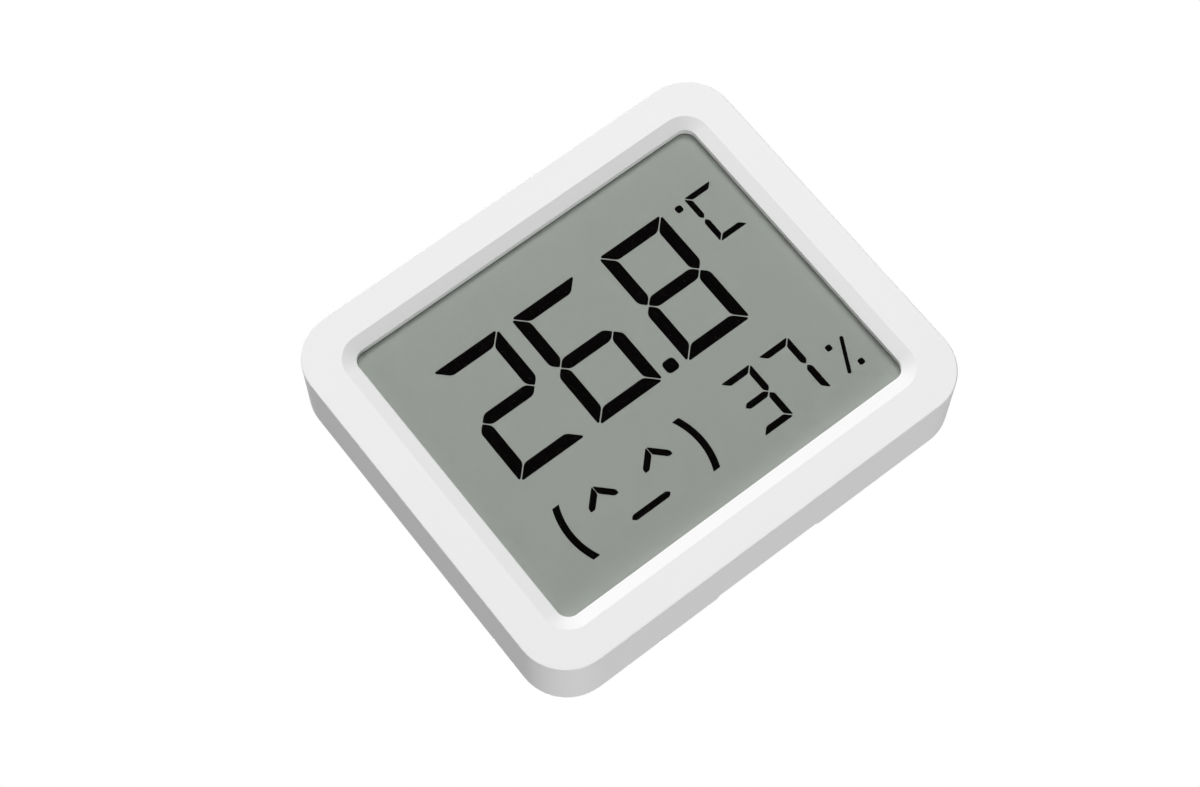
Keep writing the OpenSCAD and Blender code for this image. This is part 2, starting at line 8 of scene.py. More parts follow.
import bpy
import numpy as np
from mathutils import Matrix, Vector


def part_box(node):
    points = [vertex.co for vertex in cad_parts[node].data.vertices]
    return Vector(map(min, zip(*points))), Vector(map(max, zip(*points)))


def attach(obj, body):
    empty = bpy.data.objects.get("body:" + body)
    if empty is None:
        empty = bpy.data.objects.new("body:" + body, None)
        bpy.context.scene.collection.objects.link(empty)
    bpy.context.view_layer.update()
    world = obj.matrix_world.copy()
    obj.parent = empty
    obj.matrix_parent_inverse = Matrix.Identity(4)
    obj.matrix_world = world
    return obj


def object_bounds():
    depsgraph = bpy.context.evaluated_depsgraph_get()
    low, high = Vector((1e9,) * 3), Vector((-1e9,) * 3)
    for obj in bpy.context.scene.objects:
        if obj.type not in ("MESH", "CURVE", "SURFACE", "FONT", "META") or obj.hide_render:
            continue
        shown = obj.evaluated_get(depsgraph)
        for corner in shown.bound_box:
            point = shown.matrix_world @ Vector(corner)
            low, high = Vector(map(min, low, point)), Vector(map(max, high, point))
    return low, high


bl_info = {
    "name": "Temperature and humidity sensor",
    "version": (1, 0, 0),
    "blender": (4, 5, 0),
    "location": "View3D > Sidebar > Sensor",
    "description": "Adds the display signs, the finishes and the stage of a table-top sensor",
    "category": "Object",
}

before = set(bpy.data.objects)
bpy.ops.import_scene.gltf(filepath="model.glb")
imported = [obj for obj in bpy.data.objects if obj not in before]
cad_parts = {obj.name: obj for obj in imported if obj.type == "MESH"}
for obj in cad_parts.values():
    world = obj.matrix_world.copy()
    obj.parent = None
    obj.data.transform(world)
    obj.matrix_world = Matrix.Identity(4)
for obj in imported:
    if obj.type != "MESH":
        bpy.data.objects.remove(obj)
CAD_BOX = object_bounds()

MM = 0.001
DIAGONAL = math.sqrt(0.5)
CASE_BODY = "case"

# Segments that are lit for each sign: a is the top bar, then clockwise to f, and g is the middle bar
LIT = {"2": "abged", "3": "abgcd", "6": "afgecd", "7": "abc", "8": "abcdefg", "C": "afed"}
# Rounding and meeting point of the segments, as shares of their stroke
TIP_ROUND = 0.1
SHOULDER_ROUND = 0.7
JOINT_IN = 0.5
# Rounding of a dot's corners, as a share of its side
DOT_ROUND = 0.32
# A corner that turns by more than this is a tip, and any other is a shoulder
TIP_TURN = math.radians(80)
ARC_STEPS = 8
# Lamps of the stage: where each stands seen from the case, its side in metres, whether it casts shadows
LAMPS = {
    "key": ((0.28, -0.91, 0.3), 1.3, True),
    "top_fill": ((0, -0.35, 0.94), 0.4, False),
    "low_fill": ((-0.44, -0.05, -0.89), 1.0, True),
    "rear": ((0.15, 0.97, 0.16), 0.5, True),
}
LAMP_DISTANCE = 2.5
# How far up the floor looks for a case that shelters it from the light, and by how many rays
FLOOR_SHELTER = 60 * MM
FLOOR_RAYS = 3
# The floor lies this far under the case, so that the two don't share a plane
FLOOR_DROP = 0.1 * MM
# Width of the camera's sensor in its own millimetres, and the nearest and furthest that it sees in metres
SENSOR_WIDTH = 36
CAMERA_REACH = (0.01, 10)


def length(name, size, text):
    """A length property given in millimetres."""
    return bpy.props.FloatProperty(
        name=name, description=text, default=size * MM, precision=5, unit="LENGTH"
    )


def place(name, x, y, text):
    """A point on the front, in millimetres right of and above the middle of the case."""
    return bpy.props.FloatVectorProperty(
        name=name, description=text, size=2, default=(x * MM, y * MM), precision=5,
        subtype="XYZ", unit="LENGTH",
    )


def colour(name, rgb, text):
    """A linear colour property."""
    return bpy.props.FloatVectorProperty(
        name=name, description=text, size=3, default=rgb, min=0, max=1, subtype="COLOR"
    )


def share(name, value, text):
    """A property from 0 to 1."""
    return bpy.props.FloatProperty(
        name=name, description=text, default=value, min=0, max=1, subtype="FACTOR"
    )


class DisplaySigns(bpy.types.PropertyGroup):
    """Sizes and places of the display's signs."""

    digit_w: length("Digit width", 9.16, "Width of a temperature digit")
    digit_h: length("Digit height", 16.54, "Height of a temperature digit")
    digit_stroke: length("Digit stroke", 1.59, "Stroke of a temperature digit")
    segment_gap: length("Segment gap", 0.13, "Gap between neighbouring segments")
    tens_at: place("Tens", -13.44, 4.76, "Centre of the first temperature digit")
    units_at: place("Units", -2.35, 4.76, "Centre of the second temperature digit")
    tenths_at: place("Tenths", 10.32, 4.76, "Centre of the last temperature digit")
    point_w: length("Decimal point", 1.68, "Side of the decimal point")
    point_at: place("Decimal point", 3.95, -2.64, "Centre of the decimal point")
    degree_w: length("Degree dot", 0.9, "Side of the degree dot")
    degree_at: place("Degree dot", 17.04, 12.27, "Centre of the degree dot")
    unit_w: length("Unit width", 3.99, "Width of the unit letter")
    unit_h: length("Unit height", 6.96, "Height of the unit letter")
    unit_stroke: length("Unit stroke", 0.73, "Stroke of the unit letter")
    unit_at: place("Unit", 20.24, 9.52, "Centre of the unit letter")
    small_w: length("Small digit width", 4.31, "Width of a humidity digit")
    small_h: length("Small digit height", 7.92, "Height of a humidity digit")
    small_stroke: length("Small stroke", 0.83, "Stroke of a humidity digit")
    small_tens_at: place("Humidity tens", 8.98, -11.94, "Centre of the first humidity digit")
    small_units_at: place("Humidity units", 14.48, -11.94, "Centre of the second humidity digit")
    percent_dot: length("Percent dot", 0.77, "Side of a dot of the percent sign")
    percent_high_at: place("Upper dot", 19.45, -11.95, "Centre of the percent sign's upper dot")
    percent_low_at: place("Lower dot", 21.33, -15.47, "Centre of the percent sign's lower dot")
    slash_stroke: length("Slash stroke", 0.47, "Stroke of the percent sign's slash")
    slash_span: place("Slash span", 1.96, 3.78, "Run and rise of the slash between the centres of its ends")
    slash_at: place("Slash", 20.42, -13.74, "Centre of the slash")
    mood_at: place("Comfort sign", -8.30, -11.95, "Centre of the comfort sign")
    mood_w: length("Comfort sign width", 19.36, "Width of the comfort sign over its round ends")
    mood_h: length("Comfort sign height", 7.5, "Height of the comfort sign")
    mood_stroke: length("Comfort stroke", 0.79, "Stroke of the comfort sign's eyes and mouth")
    bracket_r: length("Bracket radius", 9.7, "Outer radius of the comfort sign's round ends")
    bracket_stroke: length("Bracket stroke", 0.86, "Stroke of the round ends")
    eye_out: length("Eye distance", 3.82, "Distance of an eye's apex from the middle of the sign")
    eye_up: length("Eye height", 3.23, "Height of an eye's apex over the middle of the sign")
    eye_w: length("Eye half width", 1.92, "Reach of an eye's stroke to the side")
    mouth_w: length("Mouth width", 5.45, "Width of the mouth")
    mouth_down: length("Mouth drop", 2.67, "Drop of the mouth below the middle of the sign")
    plate_t: length("Segment thickness", 0.02, "Thickness of a lit segment")


class Colours(bpy.types.PropertyGroup):
    """Colours of the finishes."""

    case: colour("Case", (0.86, 0.86, 0.86), "White mouldings of the case, cover and stand")
    button: colour("Button", (0.74, 0.74, 0.74), "Pairing button")
    holder: colour("Holder", (0.8, 0.79, 0.76), "Display holder and switch plunger")
    segment: colour("Segments", (0.0012, 0.0009, 0.0008), "Lit segments of the display")
    reflector: colour("Reflector", (0.405, 0.434, 0.4), "Reflecting back, as seen through the cell")
    film: colour("Front film", (0.007, 0.006, 0.006), "Front polariser")
    glass: colour("Glass edge", (0.35, 0.6, 0.5), "Cut edges of the display glass")
    foam: colour("Foam", (0.012, 0.012, 0.012), "Gasket and sensor seal")
    board: colour("Board", (0.012, 0.11, 0.045), "Solder mask of the main board")
    copper: colour("Tracks", (0.03, 0.2, 0.08), "Copper tracks under the solder mask")
    gold: colour("Vias", (0.75, 0.55, 0.25), "Plated holes of the board")
    # This colour also paints the middles of the board's plated holes, as painted shade.
    epoxy: colour("Chips", (0.02, 0.02, 0.021), "Moulded chips")
    steel: colour("Steel", (0.5, 0.5, 0.51), "Cell, screws and crystals")
    nickel: colour("Nickel", (0.53, 0.5, 0.45), "Spring contacts and soldered ends")
    ceramic: colour("Ceramic", (0.42, 0.28, 0.16), "Bodies of the capacitors")
    antenna: colour("Antenna", (0.78, 0.76, 0.7), "Ceramic of the antenna and of the sensor's element")
    rubber: colour("Elastomer", (0.3, 0.3, 0.31), "Insulating bands of the connector strips")
    carbon: colour("Carbon", (0.02, 0.02, 0.02), "Conducting bands of the connector strips")


class Stage(bpy.types.PropertyGroup):
    """Floor, light and camera."""

    floor: colour("Floor", (0.8, 0.8, 0.8), "Plain pale floor")
    floor_r: length("Floor radius", 900, "Radius at which the floor has faded into the background")
    ambient: share("Surrounding light", 0.01, "Level of the even light from all round")
    key: share("Key", 0.65, "Light of the key lamp on a surface that faces it")
    top_fill: share("Top fill", 0.74, "Light from above, without shadows, on a surface that faces it")
    low_fill: share("Low fill", 0.6, "Light from below on a surface that faces it")
    rear: share("Rear", 0.75, "Light from behind on a surface that faces it")
    lens: length("Lens", 80.05, "Focal length on a 36 mm sensor")
    camera_at: bpy.props.FloatVectorProperty(
        name="Camera", description="Place of the camera", size=3,
        default=(-0.0773973, -0.2799861, -0.0679574), precision=6, subtype="XYZ", unit="LENGTH",
    )
    camera_turn: bpy.props.FloatVectorProperty(
        name="Camera turn", description="Turn of the camera about X, Y and Z", size=3,
        default=tuple(math.radians(turn) for turn in (113.0927, 37.85671, -0.1122)), precision=6,
        subtype="EULER", unit="ROTATION",
    )


def outline(edges, stroke):
    """Closed convex outline, counter-clockwise, with soft corners.

    Edges are lines at a turn of the normal, in degrees, and a distance from the origin. Each corner is where a
    line crosses the next one. An arc takes its place, whose centre lies where a circle of the corner's radius
    touches both lines, and which runs from one line's normal to the other's.
    """
    turns, distances = np.array(edges, float).T
    turns = np.radians(turns)
    normals = np.stack([np.cos(turns), np.sin(turns)], axis=1)
    lines = np.stack([normals, np.roll(normals, -1, axis=0)], axis=1)
    corner_turn = (np.roll(turns, -1) - turns) % (2 * np.pi)
    radii = stroke * np.where(corner_turn > TIP_TURN, TIP_ROUND, SHOULDER_ROUND)
    inset = np.stack([distances - radii, np.roll(distances, -1) - radii], axis=1)
    centres = np.linalg.solve(lines, inset[..., None])[..., 0]
    angles = turns[:, None] + corner_turn[:, None] * np.linspace(0, 1, ARC_STEPS)
    arcs = np.stack([np.cos(angles), np.sin(angles)], axis=-1) * radii[:, None, None]
    return (centres[:, None] + arcs).reshape(-1, 2)


def mirrored(points, x=1, y=1):
    """The outline turned over by factors of 1 or -1, still counter-clockwise."""
    return (points * (x, y))[:: x * y]


def pointed(slant, stroke):
    """Edges of a level bar with right-angled points, its slanted edges at that distance from its middle."""
    half = stroke / 2
    return [(45, slant), (90, half), (135, slant), (225, slant), (270, half), (315, slant)]


def segment(letter, width, height, stroke, gap):
    """Outline of one segment of a seven-segment sign, about the sign's centre.

    Ends are cut at 45 degrees, half a gap short of the line through the sign's corner or through the point
    where three segments meet. The top bar, the upper right bar and the middle bar are worked out, and mirrored
    for the rest.
    """
    side, top = width / 2, height / 2
    corner = (side - top) * DIAGONAL
    joint = (side - JOINT_IN * stroke) * DIAGONAL
    short = gap / 2
    if letter == "g":
        edges = pointed(joint - short, stroke)
    elif letter in "ad":
        edges = [(90, top), (225, corner - short), (270, stroke - top), (315, corner - short)]
    else:
        upper, inner, lower = -corner - short, -joint - short, joint - short
        edges = [(0, side), (135, upper), (180, stroke - side), (225, inner), (315, lower)]
    return mirrored(outline(edges, stroke), -1 if letter in "ef" else 1, -1 if letter in "cde" else 1)


def sign(character, centre, width, height, stroke, gap):
    """Outlines of the lit segments of one seven-segment sign."""
    return [segment(letter, width, height, stroke, gap) + centre for letter in LIT[character]]


def dot(centre, width):
    """Square dot whose corners are rounded by a share of its side."""
    edges = [(turn, width / 2) for turn in (0, 90, 180, 270)]
    return outline(edges, width * DOT_ROUND / TIP_ROUND) + centre


def round_bar(centre, span, stroke):
    """Straight bar with half-round ends: two half circles about the ends of the span."""
    tilt = math.atan2(span[1], span[0])
    angles = tilt - np.pi / 2 + np.linspace(0, np.pi, 2 * ARC_STEPS)
    cap = stroke / 2 * np.stack([np.cos(angles), np.sin(angles)], axis=1) + np.asarray(span) / 2
    return np.concatenate([cap, -cap]) + centre


def pointed_bar(centre, width, stroke):
    """Level bar with right-angled points: a hexagon with soft corners."""
    return outline(pointed(width / 2 * DIAGONAL, stroke), stroke) + centre


def bracket(radius, stroke, height):
    """Round bracket that opens to the right, its leftmost point at the origin.

    Two arcs about one centre, the outer one's radius and a stroke less, are cut level at both ends.
    """
    level = np.linspace(height / 2, -height / 2, 4 * ARC_STEPS)
    outer = radius - np.sqrt(radius**2 - level**2)
    inner = radius - np.sqrt((radius - stroke) ** 2 - level**2)
    return np.concatenate([np.stack([outer, level], axis=1), np.stack([inner, level], axis=1)[::-1]])


def eye(reach, stroke, gap):
    """Right stroke of an eye, its apex at the origin: a bar at 45 degrees that ends in a right-angled point."""
    low = reach + stroke * DIAGONAL
    return outline([(45, 0), (180, -gap / 2), (225, stroke), (270, low), (360, reach)], stroke)


def plates(name, outlines, thickness):
    """Adds thin plates at the face of the front glass, under the front film.

    Each outline is a ring of points. It is carried through the plate's thickness, half of it before the
    glass's face and half behind, which makes the plate's rim, and the two rings are its closed ends.
    """
    middle = (CAD_BOX[0] + CAD_BOX[1]) / 2
    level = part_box("front_glass")[0].y
    points, faces, start = [], [], 0
    for ring in outlines:
        count = len(ring)
        flat = np.insert(ring + (middle.x, middle.z), 1, level, axis=1)
        points += [flat - (0, thickness / 2, 0), flat + (0, thickness / 2, 0)]
        front = start + np.arange(count)
        following = np.roll(front, -1)
        faces += np.stack([front, front + count, following + count, following], axis=1).tolist()
        faces += [front.tolist(), (front + count)[::-1].tolist()]
        start += 2 * count
    mesh = bpy.data.meshes.new(name)
    mesh.from_pydata(np.concatenate(points), [], faces)
    mesh.validate()
    piece = bpy.data.objects.new(name, mesh)
    bpy.context.scene.collection.objects.link(piece)
    mesh.materials.append(segment_finish(bpy.context.scene.sensor_colours))
    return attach(piece, CASE_BODY)


class Value:
    """An output socket that can stand in a sum: arithmetic with numbers and values adds Math nodes."""

    def __init__(self, nodes, socket):
        self.nodes = nodes
        self.socket = socket

    def output(self, name):
        """Another output of the same node."""
        return Value(self.nodes, self.socket.node.outputs[name])

    def __add__(self, other):
        return self.nodes.math("ADD", self, other)

    def __radd__(self, other):
        return self.nodes.math("ADD", other, self)

    def __sub__(self, other):
        return self.nodes.math("SUBTRACT", self, other)

    def __rsub__(self, other):
        return self.nodes.math("SUBTRACT", other, self)

    def __mul__(self, other):
        return self.nodes.math("MULTIPLY", self, other)

    def __rmul__(self, other):
        return self.nodes.math("MULTIPLY", other, self)

    def __truediv__(self, other):
        return self.nodes.math("DIVIDE", self, other)

    def __rtruediv__(self, other):
        return self.nodes.math("DIVIDE", other, self)

    def __gt__(self, other):
        return self.nodes.math("GREATER_THAN", self, other)

    def __lt__(self, other):
        return self.nodes.math("LESS_THAN", self, other)

    def __abs__(self):
        return self.nodes.math("ABSOLUTE", self)

    def either(self, other):
        """The larger of two masks."""
        return self.nodes.math("MAXIMUM", self, other)

    def fract(self):
        """The part after the decimal point."""
        return self.nodes.math("FRACT", self)


class Nodes:
    """A node tree, built up from its first node to its end."""

    def __init__(self, tree):
        self.tree = tree
        tree.nodes.clear()

    def node(self, kind, settings=None, sockets=None, output=0):
        """Adds a node: its settings are set first, then the values or links of its sockets."""
        made = self.tree.nodes.new("ShaderNode" + kind)
        for key, value in (settings or {}).items():
            setattr(made, key, value)
        for key, value in (sockets or {}).items():
            if isinstance(value, Value):
                self.tree.links.new(value.socket, made.inputs[key])
            else:
                made.inputs[key].default_value = value
        return Value(self, made.outputs[output]) if made.outputs else None

    def math(self, operation, *terms):
        """Adds a Math node on these terms."""
        return self.node("Math", {"operation": operation}, dict(enumerate(terms)))


class Finish(Nodes):
    """A procedural material whose patterns read the place on the object."""

    def __init__(self, name):
        self.material = bpy.data.materials.new(name)
        self.material.use_nodes = True
        super().__init__(self.material.node_tree)
        self.place = self.node("TexCoord", output="Object")

    def axes(self):
        """The three coordinates of the place, as values."""
        first = self.node("SeparateXYZ", None, {0: self.place})
        return first, first.output("Y"), first.output("Z")

    def grain(self, size, detail=2.0, stretch=(1, 1, 1)):
        """Noise from 0 to 1 with grains of about that size, drawn out along an axis by its factor."""
        factors = [1 / (size * factor) for factor in stretch]
        spread = self.node("VectorMath", {"operation": "MULTIPLY"}, {0: self.place, 1: factors})
        return self.node("TexNoise", None, {"Vector": spread, "Scale": 1.0, "Detail": detail})

    def mix(self, mask, first, second):
        """The first colour where the mask is 0 and the second where it is 1."""
        ends = [value if isinstance(value, Value) else (*value, 1) for value in (first, second)]
        return self.node("Mix", {"data_type": "RGBA"}, {0: mask, 6: ends[0], 7: ends[1]}, output=2)

    def varied(self, base, by, mask):
        """A colour that runs from a share darker to a share lighter as the mask goes from 0 to 1."""
        darker = [value * (1 - by) for value in base]
        lighter = [min(value * (1 + by), 1) for value in base]
        return self.mix(mask, darker, lighter)

    def bump(self, height, depth, strength=1.0):
        """Normal of a relief of that depth."""
        return self.node("Bump", None, {"Strength": strength, "Distance": depth, "Height": height})

    def shade(self, sockets):
        """Ends the tree with a Principled shader."""
        return self.end(self.node("BsdfPrincipled", None, sockets))

    def end(self, shader):
        """Ends the tree with this shader and returns the material."""
        self.node("OutputMaterial", None, {"Surface": shader})
        return self.material


def segment_finish(colours):
    """Dyed liquid crystal: near black, with a faint drift, and almost no gloss."""
    made = bpy.data.materials.get("lit_segment")
    if made:
        return made
    finish = Finish("lit_segment")
    cloud = finish.grain(1.5 * MM)
    return finish.shade({
        "Base Color": finish.varied(colours.segment, 0.3, cloud),
        "Roughness": 0.55 + 0.2 * cloud,
        "Specular IOR Level": 0.0,
    })


def moulded(name, base, roughness=0.46, texture=0.16 * MM):
    """Moulded plastic: a fine spark-eroded texture, softly uneven gloss and a faint drift of colour."""
    finish = Finish(name)
    fine = finish.grain(texture, detail=3.0)
    cloud = finish.grain(9 * MM, detail=3.0)
    return finish.shade({
        "Base Color": finish.varied(base, 0.006, cloud),
        "Roughness": roughness - 0.06 + 0.08 * fine + 0.04 * cloud,
        "Normal": finish.bump(fine, 0.006 * MM),
    })


def foam(name, base, cell=0.22 * MM):
    """Closed-cell foam: rounded cells with darker pits between them."""
    finish = Finish(name)
    cells = finish.node("TexVoronoi", None, {"Vector": finish.place, "Scale": 1 / cell})
    return finish.shade({
        # Painted shade: the base colour darkens where the relief sinks into the pits between the cells.
        "Base Color": finish.varied(base, 0.5, 1 - cells),
        "Roughness": 0.8 + 0.15 * cells,
        "Specular IOR Level": 0.2,
        "Normal": finish.bump(1 - cells, 0.05 * MM, 0.6),
    })


def reflecting(name, base):
    """Grey-green reflecting display cell: a fine silvery grain on an even tone."""
    finish = Finish(name)
    speck = finish.grain(0.11 * MM, detail=3.0)
    cloud = finish.grain(12 * MM)
    return finish.shade({
        "Base Color": finish.varied(base, 0.1, 0.8 * speck + 0.2 * cloud),
        "Roughness": 0.6 + 0.2 * speck,
        "Specular IOR Level": 0.1,
    })


def film(base):
    """Smoked polariser with an anti-glare skin on its front: most light passes, a little dimmed by grain."""
    low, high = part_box("front_polariser")
    finish = Finish("front_polariser")
    speck = finish.grain(0.09 * MM)
    skin = finish.axes()[1] < (low.y + high.y) / 2
    return finish.shade({
        "Base Color": finish.varied(base, 0.2, speck),
        "Roughness": 0.4 + 0.2 * speck,
        "Alpha": skin * (0.08 + 0.05 * speck),
        "Specular IOR Level": 0.05,
        "Normal": finish.bump(speck, 0.004 * MM),
    })


def glass(base):
    """Display glass: clear through its faces and green through its cut edges."""
    finish = Finish("display_glass")
    normal = finish.node("NewGeometry", None, None, "Normal")
    across = finish.node("SeparateXYZ", None, {0: normal}, "Y")
    edge = abs(across) < 0.5
    ripple = finish.grain(0.4 * MM, stretch=(4, 1, 1))
    return finish.shade({
        "Base Color": finish.varied(base, 0.2, ripple),
        "Roughness": 0.08 + 0.3 * edge * ripple,
        "Alpha": 0.002 + 0.5 * edge,
    })


def zebra(rubber, carbon, pitch=0.2 * MM):
    """Elastomer connector: narrow conducting bands across the strip."""
    finish = Finish("connector_strip")
    x, _, _ = finish.axes()
    band = (x / pitch).fract() > 0.5
    dust = finish.grain(0.2 * MM)
    return finish.shade({
        "Base Color": finish.mix(band, finish.varied(rubber, 0.15, dust), carbon),
        "Roughness": 0.7 + 0.2 * dust,
    })


def board(colours):
    """Solder mask over copper tracks and square copper areas, with plated holes."""
    finish = Finish("main_board")
    x, _, z = finish.axes()
    flat = finish.node("CombineXYZ", None, {0: x, 1: z})
    tracks = finish.node(
        "TexBrick",
        {"offset": 0.37, "offset_frequency": 3, "squash": 1.6, "squash_frequency": 4},
        {"Vector": flat, "Scale": 1 / MM, "Mortar Size": 0.09, "Mortar Smooth": 0.1, "Bias": 0.0,
         "Brick Width": 3.4, "Row Height": 0.55},
        output="Fac",
    )
    areas = finish.node(
        "TexVoronoi",
        {"voronoi_dimensions": "2D", "distance": "CHEBYCHEV"},
        {"Vector": flat, "Scale": 1 / (8 * MM)},
        output="Color",
    )
    pour = finish.node("SeparateColor", None, {0: areas}) > 0.55
    holes = finish.node(
        "TexVoronoi", {"voronoi_dimensions": "2D"}, {"Vector": flat, "Scale": 1 / (2.6 * MM)}
    )
    ring = holes < 0.1
    # Painted shade: the middle of each plated hole, which the base colour below paints near black as the shade
    # inside the open hole.
    hole = holes < 0.05
    weave = finish.grain(0.5 * MM, stretch=(3, 1, 1))
    mask = finish.varied(colours.board, 0.12, weave)
    covered = finish.mix((tracks * (1 - pour)).either(pour), mask, colours.copper)
    plated = finish.mix(ring, covered, colours.gold)
    return finish.shade({
        # Painted shade: the chips' epoxy colour fills the middle of each plated hole.
        "Base Color": finish.mix(hole, plated, colours.epoxy),
        "Roughness": 0.32 + 0.1 * weave,
        "Metallic": ring * (1 - hole),
        "Normal": finish.bump(tracks, 0.03 * MM, 0.5),
    })


def metal(name, base, roughness=0.3, grain=(1, 1, 30)):
    """Rolled metal: fine lines drawn out along one axis."""
    finish = Finish(name)
    lines = finish.grain(0.05 * MM, detail=3.0, stretch=grain)
    cloud = finish.grain(3 * MM)
    return finish.shade({
        "Base Color": finish.varied(base, 0.16, 0.5 * lines + 0.5 * cloud),
        "Metallic": 1.0,
        "Roughness": roughness - 0.08 + 0.16 * lines,
        "Normal": finish.bump(lines, 0.004 * MM),
    })


def cell_can(base):
    """Plated can of the coin cell: turned rings about its axis and a stamped plus sign."""
    low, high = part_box("coin_cell")
    middle = (low + high) / 2
    arm, half = 2.6 * MM, 0.35 * MM
    finish = Finish("coin_cell")
    x, _, z = finish.axes()
    across, up = abs(x - middle.x), abs(z - middle.z)
    radius = finish.math("SQRT", across * across + up * up)
    rings = finish.node("TexNoise", {"noise_dimensions": "1D"}, {"W": radius / (0.08 * MM), "Scale": 1.0})
    plus = ((across < arm) * (up < half)).either((up < arm) * (across < half))
    cloud = finish.grain(4 * MM)
    return finish.shade({
        "Base Color": finish.varied(base, 0.2, (0.5 * rings + 0.5 * cloud) * (1 - plus)),
        "Metallic": 1.0,
        "Roughness": 0.2 + 0.16 * rings + 0.2 * plus,
        "Normal": finish.bump(rings * 0.1 - plus, 0.05 * MM),
    })


def chip(node, base):
    """Moulded chip: matt epoxy with a round dimple at its first pin."""
    low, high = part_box(node)
    finish = Finish(node)
    x, _, z = finish.axes()
    right, up = x - (low.x + 0.8 * MM), z - (high.z - 0.8 * MM)
    dimple = right * right + up * up < (0.35 * MM) ** 2
    fine = finish.grain(0.08 * MM, detail=3.0)
    return finish.shade({
        "Base Color": finish.varied(base, 0.3, fine.either(dimple)),
        "Roughness": 0.62 + 0.2 * fine - 0.25 * dimple,
        "Normal": finish.bump(fine * 0.1 - dimple, 0.04 * MM),
    })


def capped(node, body, ends, axis, cap, pitch=None):
    """Ceramic part, or a row of them at a pitch, whose two ends along an axis are plated and soldered."""
    low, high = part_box(node)
    finish = Finish(node)
    along = finish.axes()[axis] - low[axis]
    span = high[axis] - low[axis]
    if pitch:
        along = (along / pitch).fract() * pitch
        span -= round(span / pitch - 0.5) * pitch
    end = (along < cap).either(along > span - cap)
    fine = finish.grain(0.12 * MM)
    return finish.shade({
        "Base Color": finish.mix(end, finish.varied(body, 0.12, fine), ends),
        "Metallic": end,
        "Roughness": 0.55 + 0.15 * fine - 0.25 * end,
        "Normal": finish.bump(fine, 0.01 * MM),
    })


def switch(body, plate):
    """Tactile switch: moulded body under a steel cover, with plated legs at its sides."""
    low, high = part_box("pair_switch")
    half_body = (high.z - low.z) / 2
    finish = Finish("pair_switch")
    x, _, _ = finish.axes()
    leg = abs(x - (low.x + high.x) / 2) > half_body
    normal = finish.node("NewGeometry", None, None, "Normal")
    cover = finish.node("SeparateXYZ", None, {0: normal}, "Y") > 0.9
    bare = leg.either(cover)
    fine = finish.grain(0.1 * MM)
    return finish.shade({
        "Base Color": finish.mix(bare, finish.varied(body, 0.2, fine), plate),
        "Metallic": bare,
        "Roughness": 0.5 + 0.1 * fine - 0.15 * bare,
        "Normal": finish.bump(fine, 0.006 * MM),
    })


def sensing(body, element):
    """Humidity sensor: a moulded body with a pale porous element in its round opening."""
    low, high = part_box("humidity_sensor")
    middle = (low + high) / 2
    finish = Finish("humidity_sensor")
    x, _, z = finish.axes()
    right, up = x - middle.x, z - middle.z
    inside = right * right + up * up < (0.68 * MM) ** 2
    fine = finish.grain(0.07 * MM, detail=3.0)
    moulding, porous = finish.varied(body, 0.25, fine), finish.varied(element, 0.1, fine)
    return finish.shade({
        "Base Color": finish.mix(inside, moulding, porous),
        "Roughness": 0.6 + 0.2 * fine,
        "Normal": finish.bump(fine, 0.01 * MM),
    })


def dress(finishes):
    """Gives each CAD node its finish."""
    for node, material in finishes.items():
        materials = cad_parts[node].data.materials
        materials.clear()
        materials.append(material)


class SENSOR_OT_case_finish(bpy.types.Operator):
    """Finish the mouldings of the case, the rear cover, the stand and the button"""

    bl_idname = "sensor.case_finish"
    bl_label = "Finish the case"

    def execute(self, context):
        colours = context.scene.sensor_colours
        white = moulded("case_white", colours.case)
        dress({"front_housing": white, "rear_cover": white, "stand": white})
        dress({"pair_button": moulded("button_grey", colours.button, roughness=0.4)})
        return {"FINISHED"}


class SENSOR_OT_display_finish(bpy.types.Operator):
    """Finish the films, the glass, the gasket and the holder of the display"""

    bl_idname = "sensor.display_finish"
    bl_label = "Finish the display"

    def execute(self, context):
        colours = context.scene.sensor_colours
        dress({
            "display_gasket": foam("gasket_foam", colours.foam, cell=0.09 * MM),
            "front_polariser": film(colours.film),
            "front_glass": reflecting("display_cell", colours.reflector),
            "rear_glass": glass(colours.glass),
            "display_reflector": reflecting("reflector_film", colours.reflector),
            "display_holder": moulded("holder_plastic", colours.holder, roughness=0.5),
            "connector_strips": zebra(colours.rubber, colours.carbon),
        })
        return {"FINISHED"}


class SENSOR_OT_board_finish(bpy.types.Operator):
    """Finish the main board and the parts on it"""

    bl_idname = "sensor.board_finish"
    bl_label = "Finish the board"

    pitch: length("Spacing", 3, "Spacing of the capacitors and of the resistors")
    cap: length("End", 0.35, "Length of the plated end of a small part")

    def execute(self, context):
        colours = context.scene.sensor_colours
        bright = metal("bright_steel", colours.steel, roughness=0.24, grain=(30, 1, 1))
        dress({
            "main_board": board(colours),
            "board_screws": bright,
            "crystals": bright,
            "radio_chip": chip("radio_chip", colours.epoxy),
            "driver_chip": chip("driver_chip", colours.epoxy),
            "chip_antenna": capped("chip_antenna", colours.antenna, colours.nickel, 2, 2 * self.cap),
            "capacitors": capped("capacitors", colours.ceramic, colours.nickel, 0, self.cap, self.pitch),
            "resistors": capped("resistors", colours.epoxy, colours.nickel, 0, self.cap, self.pitch),
            "humidity_sensor": sensing(colours.epoxy, colours.antenna),
            "sensor_seal": foam("seal_foam", colours.foam),
            "pair_switch": switch(colours.epoxy, colours.steel),
            "switch_plunger": moulded("plunger_plastic", colours.holder, roughness=0.4),
        })
        return {"FINISHED"}


